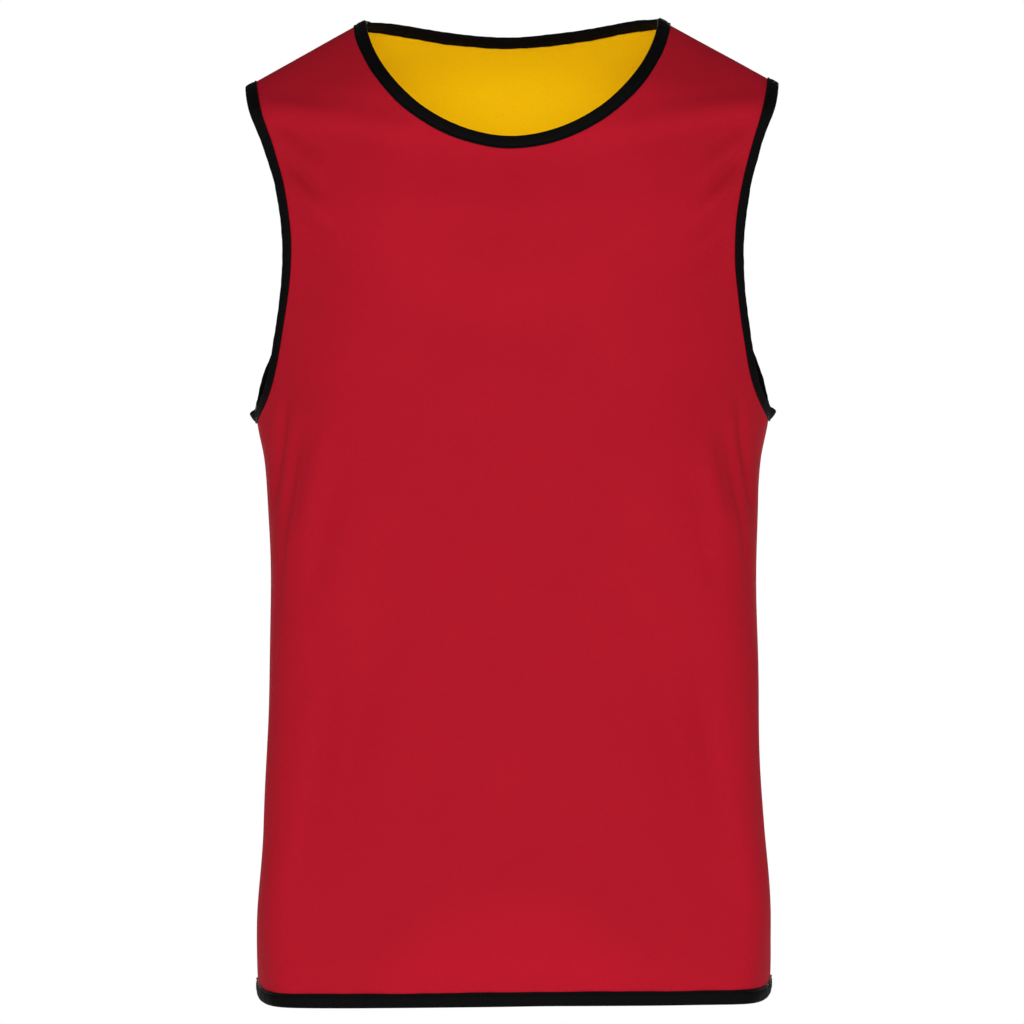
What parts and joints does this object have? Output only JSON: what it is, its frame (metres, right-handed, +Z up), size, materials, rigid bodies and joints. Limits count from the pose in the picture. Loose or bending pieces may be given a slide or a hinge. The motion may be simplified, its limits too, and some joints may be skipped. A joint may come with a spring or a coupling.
{
  "type": "reversible rugby bib",
  "caption": "Sleeveless two-layer training bib, red outside and yellow inside, with black binding round the neck, armholes and hem.",
  "frame": {"origin": "midway between the shoulders, level with the top of the neck opening at its sides, where the bib is held", "axes": "+Z up from hem to neck, +Y from the front to the back, +X to the right as the front is seen"},
  "size_m": [0.411, 0.255, 0.75],
  "materials": {
    "red_knit": "matt polyester knit",
    "yellow_knit": "matt polyester knit",
    "black_binding": "matt woven tape"
  },
  "bodies": {
    "root": {"front_outer": "red_knit", "back_outer": "red_knit", "front_inner": "yellow_knit", "back_inner": "yellow_knit", "hem_binding": "black_binding", "neck_binding": "black_binding", "armhole_binding_left": "black_binding", "armhole_binding_right": "black_binding"}
  },
  "joints": []
}
